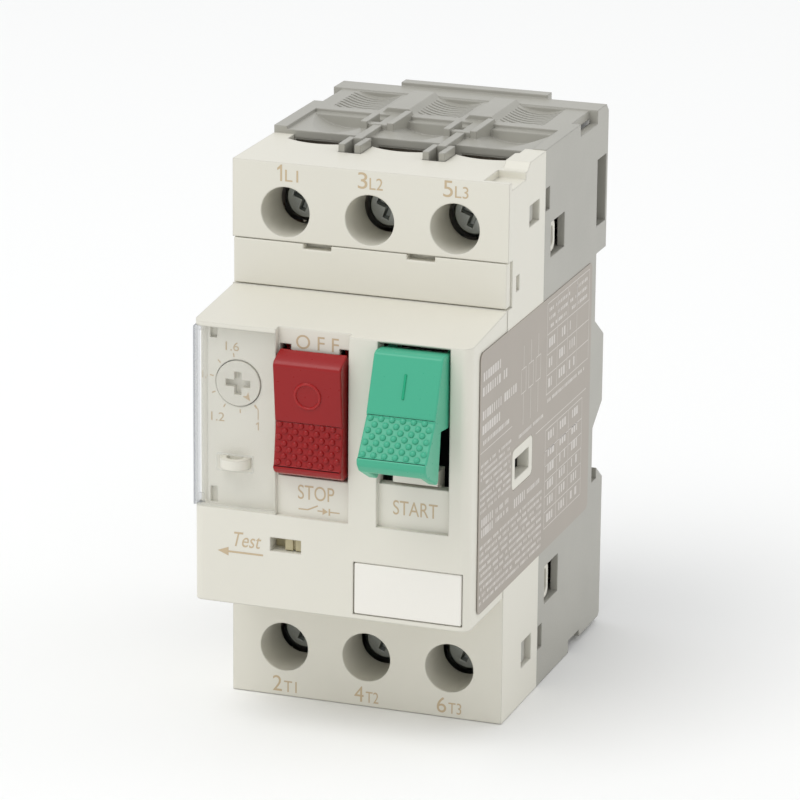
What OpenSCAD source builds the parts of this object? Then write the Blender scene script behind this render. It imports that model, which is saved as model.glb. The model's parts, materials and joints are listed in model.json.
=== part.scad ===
// Three-pole motor protection breaker with rocker buttons, for a 35 mm rail.
// Frame: origin on the rail seat plane at the rail's centreline, +Z up, the front faces -Y.
// Shapes are drawn in bench coordinates: y from the terminal face, z from the bottom. place() moves them.

/* [Housing] */
// Width across the sides
body_w = 45; // [45:0.1:46]
// Height of the moulded housing, without the rear tab
body_h = 88.4; // [88.2:0.1:88.6]
// Depth of the white cover's skirt behind the terminal face
cover_depth = 18; // [17.9:0.05:18.1]
// How far the nose stands in front of the terminal face
nose_depth = 17; // [16.9:0.05:17.1]
// Depth from the terminal face to the rail seat
seat_y = 46; // [46:0.1:46.3]
// Wall thickness of the covers
wall = 1.8; // [1.7:0.05:1.9]

/* [Rail] */
// Height of the rail's centreline above the bottom
rail_h = 46.5; // [46.3:0.1:46.7]
// Height of the rail profile
rail_w = 35; // [35:35]
// Travel of the rail latch
latch_travel = 2.4; // [2:0.1:2.4]

/* [Terminals] */
// Distance between neighbouring poles
pitch = 13.8; // [13.7:0.05:13.9]
// Radius of the screwdriver guides
guide_r = 4.0; // [3.9:0.05:4.1]
// Length of the screwdriver guides
guide_len = 9; // [8.8:0.1:9]
// Height of the upper terminal screws
upper_screw_z = 79.4; // [79.3:0.1:79.5]
// Height of the lower terminal screws
lower_screw_z = 8.2; // [8.1:0.1:8.3]

/* [Buttons] */
// Angle that the start button stands out at rest
start_tilt = 28; // [26:1:28]
// Width of each button
button_w = 11; // [10.8:0.1:11]

/* [Hidden] */
$fn = 48;
eps = 0.1;

half_w = body_w / 2;
inner_x = half_w - wall;
poles = [-pitch, 0, pitch];
barriers = [-pitch / 2, pitch / 2];
sides = [-1, 1];

// Upper block of the white cover
block_top = 87.2;
block_bottom = 74.8;
lip_z = 67.2;
top_z = 89.2;
ridge_x = 18.5;
ridge_y = 9;
wire_r = 9;
wire_y = 22.4;
wire_half = 5.3;

// Nose
nose_y = -nose_depth;
nose_bottom = 20.9;
nose_top = 65.7;
nose_side = half_w - 0.1;
nose_round = 1.6;
nose_inner_y = nose_y + 2.8;
roof_z = 64.9;

// Windows in the nose: the stop button's bay and the start button's bay
stop_x = [-8.9, 2.9];
start_x = [7.5, 19.1];
bay_bottom = 36.1;
aperture_bottom = 42.4;
flag_bottom = 62.2;
flag_wall = 0.9;
arm_w = 1.5;
flag_y = nose_y + 1.4;

// Buttons: both turn on one shaft
shaft_y = -12.2;
shaft_z = 62.8;
shaft_r = 0.8;
run_gap = 0.05;
stop_button_x = -8.5;
start_button_x = 7.8;

// Dial, its panel and its hinged clear cover
panel_y = nose_y + 1.7;
panel_z = [36.15, 65];
panel_left = -20.7;
dial_x = -15.6;
dial_z = 56;
dial_r = 3.6;
dial_face_y = panel_y - 0.3;
flap_y = [nose_y, nose_y + 1.05];
flap_x = [-22.4, -9.1];
flap_z = [36.3, 64.9];
flap_axis = [-21.9, -14.9];
lug_x = -15.9;
lug_z = [42.7, 44.3];

// Test slot
test_x = [-9.75, -4.7];
test_z = [30.2, 32.4];

// Marker recess
marker_x = [3.8, 21.45];
marker_z = [21.6, 30.1];

// Snap windows in the sides, as [y from, y to, z from, z to]
cover_windows = [[10, 15, 78, 81.4], [9.7, 14.7, 5.9, 10.3]];
base_windows = [[21.2, 28.3, 70.4, 76.1], [21.2, 28.3, 12.9, 19.3]];
aux_window = [4.4, 11.4, 38.9, 42.3];
rim = [3.1, 13.1, 37.4, 43.9];
flap_slot = [3.9, 5.5, 69.3, 71.8];

// Chambers of the rear base
back_y = seat_y - 2.5;
chamber_z = [5, 80.5];
pole_half = 6.2;
split_y = 24.5;
terminal_top = 86.4;

// Switching parts
terminal_y = 18.6;
strip_t = 1.2;
strip_y = 32;
bridge_y = 27;
contact_gap = 3;
centre_z = (upper_screw_z + lower_screw_z) / 2;

// Box between two corners given as ranges
module bx(x, y, z) translate([x[0], y[0], z[0]]) cube([x[1] - x[0], y[1] - y[0], z[1] - z[0]]);

// Moves bench coordinates to the rail frame
module place() translate([0, -seat_y, -rail_h]) children();

// Outline in y and z, extruded along x
module along_x(x) translate([x[0], 0, 0]) rotate([90, 0, 90]) linear_extrude(x[1] - x[0]) children();

// Cylinder along y from one y to another
module rod_y(x, z, y, r, r2 = -1) translate([x, y[0], z]) rotate([-90, 0, 0])
    cylinder(h = y[1] - y[0], r1 = r, r2 = r2 < 0 ? r : r2);

// Rectangle with round corners
module round_rect(a, b, r) {
    translate([a[0] + r, b[0]]) square([a[1] - a[0] - 2 * r, b[1] - b[0]]);
    translate([a[0], b[0] + r]) square([a[1] - a[0], b[1] - b[0] - 2 * r]);
    for (u = [a[0] + r, a[1] - r], v = [b[0] + r, b[1] - r]) translate([u, v]) circle(r);
}

// Repeats a shape drawn for the upper terminals at the lower ones
module both_ends(mid) {
    children();
    translate([0, 0, 2 * mid]) mirror([0, 0, 1]) children();
}

// ---- Front cover ----

module nose_body() intersection() {
    translate([0, 0, nose_bottom]) linear_extrude(lip_z - nose_bottom + eps) union() {
        translate([-nose_side, nose_y + nose_round]) square([2 * nose_side, nose_depth]);
        translate([-nose_side + nose_round, nose_y])
            square([2 * (nose_side - nose_round), nose_depth]);
        for (s = sides) translate([s * (nose_side - nose_round), nose_y + nose_round])
            circle(nose_round);
    }
    along_x([-half_w, half_w]) polygon([[nose_y - 1, nose_bottom], [nose_y - 1, nose_top - 0.09],
        [nose_y, nose_top], [eps, lip_z], [eps, nose_bottom]]);
}

module cover_outside() {
    bx([-half_w, half_w], [0, cover_depth], [0, block_top]);
    nose_body();
    translate([(half_w + ridge_x) / 2, 0, 0])
        along_x([-(half_w - ridge_x) / 2, (half_w - ridge_x) / 2])
            polygon([[ridge_y, block_top - 1], [ridge_y, block_top], [ridge_y + 1.2, body_h - 0.1],
                [cover_depth, body_h - 0.1], [cover_depth, block_top - 1]]);
    // rims that stand through the rating label
    for (s = sides) along_x(s > 0 ? [half_w - eps, half_w + 0.12] : [-half_w - 0.12, -half_w + eps])
        round_rect([rim[0], rim[1]], [rim[2], rim[3]], 1);
}

module cover_cavities() {
    bx([-19, inner_x], [nose_inner_y, -12], [nose_bottom + wall, roof_z]);
    bx([-inner_x, inner_x], [-12, cover_depth + eps], [nose_bottom + wall, roof_z]);
    bx([-inner_x, inner_x], [guide_len, cover_depth + eps], [wall, nose_bottom + wall + eps]);
    bx([-inner_x, inner_x], [guide_len, cover_depth + eps], [roof_z - eps, block_top - wall]);
}

module stop_bay() {
    x = [stop_x[0] + 0.2, stop_x[1] - 0.2];
    bx(stop_x, [nose_y - eps, nose_y + 0.8], [bay_bottom, nose_top - 0.2]);
    bx(stop_x, [nose_y - eps, flag_y], [flag_bottom - 1.2, nose_top + 1]);
    bx(x, [nose_y - eps, -12], [aperture_bottom, flag_bottom]);
    bx(x, [flag_y + flag_wall, -12], [aperture_bottom, roof_z]);
    // slots beside the flag wall for the button's arms
    for (u = [[x[0], x[0] + arm_w + 0.3], [x[1] - arm_w - 0.3, x[1]]])
        bx(u, [nose_y - eps, -12], [aperture_bottom, flag_bottom + 1]);
}

module start_bay() {
    x = [start_x[0] + 0.1, start_x[1] - 0.1];
    bx(start_x, [nose_y - eps, nose_y + 0.9], [bay_bottom, nose_top - 0.2]);
    bx(x, [nose_y - eps, -12], [aperture_bottom + 0.5, roof_z]);
    bx(x, [nose_y - eps, nose_y + 1.5], [60, roof_z + 0.25]);
}

// Ledge that shows under the start button when it stands out
module start_ledge() {
    bx([9.75, 16.95], [-15.9, -12.6], [43.3, 45.6]);
    bx([9.75, 16.95], [nose_inner_y - 0.2, -12.6], [41.5, 45.6]);
}

module dial_bay() {
    bx([-half_w - eps, stop_x[0] - 0.1], [nose_y - eps, panel_y], panel_z);
    bx([-half_w - eps, panel_left], [nose_y - eps, -13.6], panel_z);
    rod_y(dial_x, dial_z, [nose_y, -11], dial_r + 0.12);
    translate([flap_axis[0], flap_axis[1], panel_z[0] - 0.8]) cylinder(h = 30.4, r = 0.6);
    for (z = [[62.9, 64.7], [36.5, 39]]) bx([-20.2, -19.1], [panel_y - eps, panel_y + 0.7], z);
}

module sealing_lug() intersection() {
    translate([lug_x, panel_y - 0.5, lug_z[0]]) difference() {
        cylinder(h = lug_z[1] - lug_z[0], r = 2.4);
        translate([0, 0, -1]) cylinder(h = 4, r = 1.35);
    }
    bx([lug_x - 3, lug_x + 3], [nose_y - 2, panel_y + 0.2], [lug_z[0] - 1, lug_z[1] + 1]);
}

// Loop at the end of a snap arm, seen through the base's side window
module snap_arm(s, w) difference() {
    union() {
        bx(s > 0 ? [19.2, 20.5] : [-20.5, -19.2], [cover_depth - 3, w[0] + 3.4],
            [w[2] + 0.9, w[3] - 0.9]);
        bx(s > 0 ? [19.2, inner_x + eps] : [-inner_x - eps, -19.2],
            [cover_depth - 3, cover_depth], [w[2] + 0.9, w[3] - 0.9]);
        along_x(s > 0 ? [19.2, 21.8] : [-21.8, -19.2])
            round_rect([w[0] + 0.3, w[0] + 4.1], [w[2] + 0.3, w[3] - 0.3], 1.4);
    }
    along_x([s * 20.5 - 3, s * 20.5 + 3])
        round_rect([w[0] + 1.1, w[0] + 3.3], [w[2] + 1.2, w[3] - 1.2], 0.9);
}

module shaft_bearings() difference() {
    for (x = [[-10.4, -9.1], [3.9, 6.3], [19.4, 20.8]]) bx(x, [-14.3, -10.6], [60.6, roof_z + eps]);
    translate([-11, shaft_y, shaft_z]) rotate([0, 90, 0]) cylinder(h = 33, r = shaft_r);
}

// Rounded bite out of the block's edge where a wire goes in
module wire_scallop(x, z) intersection() {
    translate([x, wire_y, z]) cylinder(h = 6, r = wire_r);
    bx([x - wire_half, x + wire_half], [0, 30], [z, z + 6]);
}

module front_cover() color("#e3e2da") place() {
    difference() {
        cover_outside();
        cover_cavities();
        for (x = poles, z = [upper_screw_z, lower_screw_z]) rod_y(x, z, [-eps, guide_len + eps], guide_r);
        // wire entries, and notches for the base's barrier forks
        for (x = poles) {
            wire_scallop(x, block_top - 3);
            wire_scallop(x, -3);
        }
        for (x = barriers, z = [[-eps, wall + eps], [block_top - wall - eps, block_top + eps]])
            bx([x - 1.9, x + 1.9], [9.6, cover_depth + eps], z);
        // pocket and rebate for the blanking cover
        bx([-half_w - eps, half_w + eps], [-eps, 2], [lip_z + 0.1, block_bottom]);
        bx([-21, 21], [1.9, 7], [68.6, 73.6]);
        for (s = sides) bx(s > 0 ? [20, 23] : [-23, -20], [flap_slot[0], flap_slot[1]],
            [flap_slot[2], flap_slot[3]]);
        // tool notch in the right upper corner
        bx([18, half_w + eps], [1, 8], [86, 90]);
        stop_bay();
        start_bay();
        dial_bay();
        bx(test_x, [nose_y - eps, -12], test_z);
        bx(marker_x, [nose_y - eps, nose_y + 1.5], marker_z);
        for (s = sides, w = concat(cover_windows, [aux_window]))
            bx(s > 0 ? [20, 23] : [-23, -20], [w[0], w[1]], [w[2], w[3]]);
    }
    sealing_lug();
    start_ledge();
    shaft_bearings();
    for (s = sides, w = base_windows) snap_arm(s, w);
}

// ---- Rear base ----

module base_profile() polygon([[cover_depth, 0], [35, 0], [35, 2], [40.8, 2], [40.8, 0.9], [51.4, 0.9],
    [52, 1.5], [52, 25.2], [48.6, 27.6], [48.6, 25.8], [seat_y, 25.8], [seat_y, 35.2], [51, 38.6],
    [51, 50], [seat_y, 53.4], [seat_y, 64.7], [51.2, 64.7], [51.2, 87.4], [50, 88.6], [45.2, 88.6],
    [45.2, body_h], [cover_depth, body_h]]);

// Slotted barrier between two poles at the wire entries, with a rib behind it
module barrier(x) {
    bx([x - 0.7, x + 0.7], [13.5, 24], [78, body_h + 0.3]);
    bx([x - 1.8, x + 1.8], [13.6, 14.8], [84.6, body_h]);
    bx([x - 2.7, x + 2.7], [22.8, 24.2], [86.6, body_h + 0.4]);
    bx([x - 0.7, x + 0.7], [24, 31.5], [86, body_h]);
    for (s = sides) {
        bx([x + s * 1.3 - 0.5, x + s * 1.3 + 0.5], [9.8, 14.8], [84.6, body_h + 0.1]);
        bx([x + s * 2.2 - 0.55, x + s * 2.2 + 0.55], [22.4, s > 0 ? 31.5 : 28.4], [86.6, top_z]);
    }
    translate([x, 45.3, 0]) rotate([90, 0, 0]) linear_extrude(12.8)
        polygon([[-3.1, 87], [-3.1, 87.9], [-1.8, top_z], [1.8, top_z], [3.1, 87.9], [3.1, 87]]);
}

scoop_half = 6.2;
// Cut for the guide floor and the scoop behind a wire entry
module wire_trough(x) intersection() {
    union() {
        bx([x - 8, x + 8], [cover_depth - eps, 31], [87.9, 91]);
        translate([x, 31, 96.5]) rotate([80.8, 0, 0]) cylinder(h = 13.4, r = 10.6);
    }
    bx([x < 0 ? -20.3 : x - scoop_half, x > 0 ? 20.3 : x + scoop_half], [cover_depth - eps, 31], [80, 91]);
}

// Straight lip that the wires slide over
module wire_lip(x) bx([x - 5.2, x + 5.2], [cover_depth - 0.05, 18.6], [86.7, 87.9]);

vent_count = 8;
vent_pitch = 1.26;
// Shallow dish with vent grooves behind the wire entries
module vent_dish(x) {
    rod_y(x - 0.4, body_h + 8.6, [33.2, 44.8], 9.4);
    intersection() {
        for (i = [0:vent_count - 1])
            rod_y(x - 0.9, body_h + 8.8, [34.1 + i * vent_pitch, 34.65 + i * vent_pitch], 10.15);
        bx([x - 4.5, x + 3.4], [32, 45], [84, 91]);
    }
}

module base_tongue(s, w) {
    bx(s > 0 ? [19.1, 20.4] : [-20.4, -19.1], [guide_len + 0.3, 24], [w[2] - 1.2, w[3] + 1.2]);
    bx(s > 0 ? [19.1, 21.9] : [-21.9, -19.1], [w[0] + 0.3, w[0] + 3.4], [w[2] + 0.3, w[3] - 0.3]);
    bx(s > 0 ? [19.1, half_w - 1] : [-half_w + 1, -19.1], [cover_depth + 0.2, 22],
        [w[2] - 1.2, w[3] + 1.2]);
}

module latch_channel() {
    bx([-8.1, 8.1], [47.1, 53], [-eps, 28.7]);
    bx([-9.5, 9.5], [47.1, 48.9], [2.4, 28.7]);
}

module rear_base() color("#a3a4a1") place() {
    difference() {
        union() {
            along_x([-half_w, half_w]) base_profile();
            bx([-12.5, 12.5], [50, 52.2], [80, top_z]);
            bx([-14, 14], [seat_y - 1, 51.2], [62.8, 66]);
            for (x = poles) wire_lip(x);
            translate([0, 0, body_h]) mirror([0, 0, 1]) for (x = poles) wire_lip(x);
        }
        // pole chambers, and the shared space in front of them
        for (x = poles) bx([x - pole_half, x + pole_half], [split_y, back_y], chamber_z);
        bx([-inner_x + 0.2, inner_x - 0.2], [cover_depth - eps, split_y + eps], [21, 67]);
        for (x = poles) bx([x - 5.6, x + 5.6], [cover_depth - eps, split_y + eps], chamber_z);
        for (x = poles) bx([x - 5, x + 5], [cover_depth - eps, 20.4], [body_h - terminal_top, terminal_top]);
        for (x = poles, z = [upper_screw_z, lower_screw_z]) rod_y(x, z, [20, 30], shank_r + 0.35);
        both_ends(body_h / 2) for (x = poles) {
            wire_trough(x);
            vent_dish(x);
        }
        // slot behind the upper hook lip for the rail's flange
        bx([-15, 15], [seat_y - 0.15, 47.4], [60, 64.9]);
        latch_channel();
        // side gaps beside the vents, and recesses at the rear edge
        for (s = sides) {
            bx(s > 0 ? [21, 23] : [-23, -21], [36, 45.2], [86.4, 90]);
            bx(s > 0 ? [19.4, 21.1] : [-21.1, -19.4], [37, 53], [82, 87]);
            bx(s > 0 ? [10, 23] : [-23, -10], [45.6, 50.4], [69.3, 80.4]);
            bx(s > 0 ? [21.5, 23] : [-23, -21.5], [18.2, 20.3], [78.5, 82.2]);
            bx(s > 0 ? [21.5, 23] : [-23, -21.5], [18.2, 20.3], [6.1, 10.1]);
            for (w = base_windows) bx(s > 0 ? [18.9, 23] : [-23, -18.9], [w[0], w[1]], [w[2], w[3]]);
            for (w = base_windows) bx(s > 0 ? [18.9, 21.3] : [-21.3, -18.9], [w[0], w[1] + 5], [w[2], w[3]]);
            for (w = base_windows) bx(s > 0 ? [18.9, 20.8] : [-20.8, -18.9],
                [cover_depth - eps, w[0] + eps], [w[2] + 0.6, w[3] - 0.6]);
        }
    }
    for (x = barriers) barrier(x);
    intersection() {
        translate([0, 0, body_h]) mirror([0, 0, 1]) for (x = barriers) barrier(x);
        bx([-half_w, half_w], [0, 45], [0.1, 20]);
    }
    for (s = sides, w = cover_windows) base_tongue(s, w);
    // peg that the latch spring pushes against
    bx([-2, 2], [46.9, 50.4], [8, 9.8]);
}

// ---- Small covers and the label ----

module blanking_cover() color("#e1e0d7") place() difference() {
    union() {
        bx([-half_w + 0.15, half_w - 0.25], [0, 1.85], [lip_z + 0.25, block_bottom - 0.15]);
        bx([-20.9, 20.9], [1.8, 6], [68.7, 73.5]);
        for (s = sides) bx(s > 0 ? [19, 22] : [-22, -19], [4.1, 5.3], [69.6, 71.5]);
    }
    bx([-19.7, 19.7], [1.7, 6.1], [69.9, 72.3]);
    for (x = [-10.8, 6.1]) bx([x, x + 4.5], [-eps, 2.6], [73.8, 75]);
}

module marker_plate() color("#f4f2ee") place() difference() {
    bx([marker_x[0] + 0.15, marker_x[1] - 0.15], [nose_y, nose_y + 1.45],
        [marker_z[0] + 0.12, marker_z[1] - 0.12]);
    bx([marker_x[0] + 1.2, marker_x[1] - 1.2], [nose_y + 0.9, nose_y + 1.6],
        [marker_z[0] + 1, marker_z[1] - 1]);
}

module rating_label() color("#a8a197") place() along_x([half_w, half_w + 0.12]) difference() {
    round_rect([-13.1, 43.6], [22.3, 64], 1.2);
    round_rect([rim[0] - 0.1, rim[1] + 0.1], [rim[2] - 0.1, rim[3] + 0.1], 1.1);
}

// ---- Buttons ----

// Side outline of a button pressed in, as y and z
module button_outline() {
    polygon([[-11.3, 52.1], [-11.3, 61], [-12, 64], [-13.8, 61.7], [-16, 61.2], [-16.2, 62.7],
        [-19, 61.5], [-19.5, 60.9], [-18.45, 51.8], [-18.15, 51.5],
        [-19.05, 45], [-19.45, 44.6], [-18.9, 43.7], [-17.6, 43.1],
        [-12.3, 43.1], [-12, 43.8], [-14.6, 50.8]]);
    translate([shaft_y, shaft_z]) circle(1.6);
}

// A button is a front plate with two arms that turn on the shaft
module button(x0) difference() {
    along_x([x0, x0 + button_w]) button_outline();
    translate([x0 - 1, shaft_y, shaft_z]) rotate([0, 90, 0]) cylinder(h = button_w + 2, r = shaft_r + run_gap);
    bx([x0 + arm_w, x0 + button_w - arm_w], [-16.6, -10], [42, 58]);
    bx([x0 + arm_w, x0 + button_w - arm_w], [-16.25, -10], [57.9, 66]);
}

module stop_button() color("#b02a2a") place() button(stop_button_x);

module start_button() color("#2fa67c") place()
    translate([0, shaft_y, shaft_z]) rotate([-start_tilt, 0, 0])
        translate([0, -shaft_y, -shaft_z]) button(start_button_x);

module button_shaft() color("#c9ccd0") place() translate([-10.4, shaft_y, shaft_z])
    rotate([0, 90, 0]) cylinder(h = 31, r = shaft_r);

// ---- Dial, flap and test slider ----

module current_dial() color("#dddbd2") place() difference() {
    union() {
        rod_y(dial_x, dial_z, [dial_face_y, -13.4], dial_r);
        rod_y(dial_x, dial_z, [-13.5, 9], 1.6);
        rod_y(dial_x, dial_z, [7, 9], 3);
        bx([dial_x, dial_x + 4.4], [7, 9], [dial_z - 1, dial_z + 1]);
    }
    bx([dial_x - 2, dial_x + 2], [dial_face_y - eps, dial_face_y + 1.1], [dial_z - 0.55, dial_z + 0.55]);
    bx([dial_x - 0.55, dial_x + 0.55], [dial_face_y - eps, dial_face_y + 1.1], [dial_z - 1.8, dial_z + 1.8]);
}

module dial_cover() color("#dfe8ee", 0.35) place() {
    difference() {
        union() {
            bx(flap_x, flap_y, flap_z);
            bx([flap_x[0], flap_x[0] + 1], [flap_y[0] + 0.5, -14.9], flap_z);
        }
        bx([-18.7, -12.8], [nose_y - eps, flap_y[1] + eps], [lug_z[0] - 0.5, lug_z[1] + 0.5]);
    }
    for (z = [[panel_z[0] - 0.5, flap_z[0] + 1.2], [flap_z[1] - 1.2, panel_z[1] + 0.5]])
        translate([flap_axis[0], flap_axis[1], z[0]]) cylinder(h = z[1] - z[0], r = 0.5);
}

module test_slider() color("#cfc7ad") place() {
    difference() {
        bx([-7.6, -4.9], [-16.2, -14.4], [test_z[0] + 0.15, test_z[1] - 0.15]);
        bx([-6.3, -5.9], [-16.4, -15.7], [test_z[0], test_z[1]]);
    }
    bx([-10.2, -2.5], [-14.1, -12.4], [test_z[0] - 0.9, test_z[1] + 0.9]);
    bx([-7, -5.4], [-14.5, 19.6], [test_z[0] + 0.4, test_z[1] - 0.4]);
}

module trip_bar() color("#3a3a3c") place() {
    bx([-18.6, 20.2], [20, 22.4], [31.2, 34.6]);
    for (x = poles) for (s = [-1, 1]) bx([x + s * 3.9 - 0.5, x + s * 3.9 + 0.5], [22.3, 26.4], [31.2, 34.6]);
}

// ---- Rail latch ----

module din_latch() color("#8b8d8b") place() difference() {
    union() {
        bx([-7.9, 7.9], [47.3, 51.6], [3.4, 27.6]);
        bx([-9.3, 9.3], [47.3, 48.7], [5, 27.6]);
        along_x([-7.9, 7.9]) polygon([[47.3, 27], [47.3, 30.4], [48.6, 30.4], [51.6, 27.8], [51.6, 27]]);
    }
    bx([-2.3, 2.3], [46, 52], [5.4, 20]);
    bx([-4, 4], [49.6, 52], [22.4, 23.8]);
}

// Close-wound coil of a given length: a stack of wire rings along z
module coil_stack(r, wire, length) {
    turns = ceil((length - 2 * wire) / (1.8 * wire)) + 1;
    for (i = [0:turns - 1]) translate([0, 0, wire + i * (length - 2 * wire) / (turns - 1)])
        rotate_extrude() translate([r, 0]) circle(wire, $fn = 8);
}

module latch_spring() color("#b9bcc0") place() translate([0, 49.1, 9.8]) coil_stack(1.1, 0.3, 10.2);

// ---- Operating mechanism ----

module divider_plate() color("#2e2f31") place() difference() {
    bx([-19, 19], [15.9, 17.4], [24, 63]);
    bx([-9.4, -3.4], [15, 18], [29.6, 33]);
    bx([-3.4, 3.4], [15, 18], [38, 52]);
    for (x = [-15, 15]) rod_y(x, 59, [15, 18], 1.6);
}

plate_x = [[-6.2, -5.2], [5.2, 6.2]];
toggle_y = 4;
toggle_z = 50;
module mechanism_frame() color("#c2c6ca") place() {
    difference() {
        for (x = plate_x) along_x(x) difference() {
            round_rect([-8.4, 15.9], [35.5, 57], 2);
            translate([toggle_y, toggle_z]) circle(1);
            round_rect([6, 13], [39, 45], 1);
        }
    }
    bx([-6, 6], [-2, 10], [35.5, 36.7]);
}

module toggle_pin() color("#d3d5d8") place() translate([-6.8, toggle_y, toggle_z]) rotate([0, 90, 0])
    cylinder(h = 13.6, r = 1);

module toggle_lever() color("#8f9499") place() along_x([-2.6, 2.6]) translate([toggle_y, toggle_z])
    difference() {
        union() {
            circle(2.6);
            rotate([0, 0, 25]) translate([-9.4, -1.3]) square([9.4, 2.6]);
            rotate([0, 0, -66]) translate([0, -1.2]) square([8.6, 2.4]);
        }
        circle(1 + run_gap);
    }

module toggle_spring() color("#b9bcc0") place() for (x = [-4.9, 2.8])
    translate([x, toggle_y, toggle_z]) rotate([0, 90, 0]) coil_stack(1.65, 0.28, 2.1);

// ---- Switching parts, one set for each pole ----

module contact_carrier() color("#303134") place() {
    bx([-19.6, 19.6], [19.6, 22.4], [38.8, 49.4]);
    bx([-2.4, 2.4], [12.6, 19.8], [42.2, 46]);
    for (x = poles) difference() {
        bx([x - 2.4, x + 2.4], [22.3, 30.4], [42.2, 45.4]);
        bx([x - 1.52, x + 1.52], [bridge_y - 0.02, bridge_y + strip_t + 0.02], [41, 47]);
    }
}

module contact_springs() color("#b9bcc0") place() for (x = poles, z = [40.2, 48])
    translate([x, 22.4, z]) rotate([-90, 0, 0]) coil_stack(0.9, 0.25, bridge_y - 22.4);

module moving_contact(p) color("#b8733f") place() {
    bx([poles[p] - 1.5, poles[p] + 1.5], [bridge_y, bridge_y + strip_t], [centre_z - 9.5, centre_z + 9.5]);
    for (s = sides) rod_y(poles[p], centre_z + s * 8, [bridge_y + strip_t - 0.01, bridge_y + 2], 1.4);
}

// Terminal strip with a fixed contact, drawn for the upper end
module terminal_strip(x, z, end_z) difference() {
    union() {
        bx([x - 4.5, x + 4.5], [terminal_y, terminal_y + 1.4], [z - 5.5, z + 4]);
        bx([x - 2.4, x + 2.4], [terminal_y, strip_y + strip_t], [z - 5.5, z - 4.3]);
        bx([x - 2.4, x + 2.4], [strip_y, strip_y + strip_t], [end_z - 1.8, z - 4.4]);
        rod_y(x, end_z, [strip_y - 0.9, strip_y + 0.01], 1.4);
    }
    rod_y(x, z, [terminal_y - eps, terminal_y + 2], 2.02);
}

module line_terminal(p) color("#b8733f") place()
    terminal_strip(poles[p], upper_screw_z, centre_z + 8);

module load_terminal(p) color("#b8733f") place() {
    x = poles[p];
    translate([0, 0, 2 * centre_z]) mirror([0, 0, 1]) difference() {
        bx([x - 4.5, x + 4.5], [terminal_y, terminal_y + 1.4], [upper_screw_z - 5.5, upper_screw_z + 4]);
        rod_y(x, upper_screw_z, [terminal_y - eps, terminal_y + 2], 2.02);
    }
    bx([x - 2, x + 2], [terminal_y, 26.6], [12.4, 13.8]);
}

// Fixed contact of the load side, fed by the heater
module load_contact(p) color("#b8733f") place() {
    x = poles[p];
    bx([x - 2, x + 2], [29, strip_y + strip_t], [centre_z - 11, centre_z - 10]);
    bx([x - 2, x + 2], [strip_y, strip_y + strip_t], [centre_z - 11, centre_z - 6.4]);
    rod_y(x, centre_z - 8, [strip_y - 0.9, strip_y + 0.01], 1.4);
}

chute_plates = 7;
// Stack of splitter plates between two fibre cheeks
module chute(x, z0, plates) {
    for (s = sides) bx([x + s * 5 - 0.4, x + s * 5 + 0.4], [34, 42.8], [z0, z0 + plates * 2]);
    for (i = [0:plates - 1]) difference() {
        bx([x - 4.8, x + 4.8], [34, 42.6], [z0 + 0.5 + 2 * i, z0 + 1.5 + 2 * i]);
        translate([x, 34, z0 + 2 * i]) cylinder(h = 3, r = 1.6);
    }
}

module arc_chute(p) color("#9aa0a5") place() {
    chute(poles[p], 56, chute_plates);
    chute(poles[p], 25, 6);
}

coil_y = 37.8;
module trip_coil(p) color("#a8642f") place() translate([poles[p], coil_y, 8.4]) coil_stack(3.9, 0.7, 11.2);

module coil_bobbin(p) color("#37383a") place() difference() {
    union() {
        translate([poles[p], coil_y, 7]) cylinder(h = 13.8, r = 3.1);
        for (z = [7, 19.8]) translate([poles[p], coil_y, z]) cylinder(h = 1, r = 4.9);
    }
    translate([poles[p], coil_y, 6]) cylinder(h = 20, r = 1.75);
}

module plunger(p) color("#c5c8cb") place() {
    translate([poles[p], coil_y, 7.4]) cylinder(h = 12, r = 1.65);
    translate([poles[p], coil_y, 19.3]) cylinder(h = 2.6, r = 0.8);
}

module bimetal(p) color("#b79a6a") place() {
    bx([poles[p] - 2.2, poles[p] + 2.2], [24.4, 25.2], [13.8, 35.6]);
    for (z = [17:1.5:26]) bx([poles[p] - 2.9, poles[p] + 2.9], [23.6, 26], [z, z + 0.9]);
    bx([poles[p] - 2, poles[p] + 2], [25.1, 30.2], [27.4, 28.4]);
    bx([poles[p] - 2, poles[p] + 2], [29.2, 30.2], [28.3, centre_z - 11]);
}

// ---- Terminal screws and clamps ----

head_y = 9.2;
head_r = 3.6;
shank_r = 1.95;
function screw_x(n) = poles[(n - 1) % 3];
function screw_z(n) = n <= 3 ? upper_screw_z : lower_screw_z;

module terminal_screw(n) color("#c3c7c4") place() difference() {
    union() {
        rod_y(screw_x(n), screw_z(n), [head_y, head_y + 0.6], head_r - 0.5, head_r);
        rod_y(screw_x(n), screw_z(n), [head_y + 0.6, head_y + 2.2], head_r);
        rod_y(screw_x(n), screw_z(n), [head_y + 2, 23], shank_r);
    }
    for (a = [20, 110]) translate([screw_x(n), head_y - eps, screw_z(n)]) rotate([0, a, 0])
        translate([-2.1, 0, -0.45]) cube([4.2, 1.5, 0.9]);
}

module clamp_plate(n) color("#b9bfb4") place() difference() {
    bx([screw_x(n) - 4.4, screw_x(n) + 4.4], [head_y + 2.2, head_y + 3.6], [screw_z(n) - 4.2, screw_z(n) + 4.2]);
    rod_y(screw_x(n), screw_z(n), [head_y + 2, head_y + 4], shank_r + 0.03);
    for (u = [-1.6, 1.6]) bx([screw_x(n) + u * 2 - 0.3, screw_x(n) + u * 2 + 0.3],
        [head_y + 3.2, head_y + 3.7], [screw_z(n) - 4.3, screw_z(n) + 4.3]);
}

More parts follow.
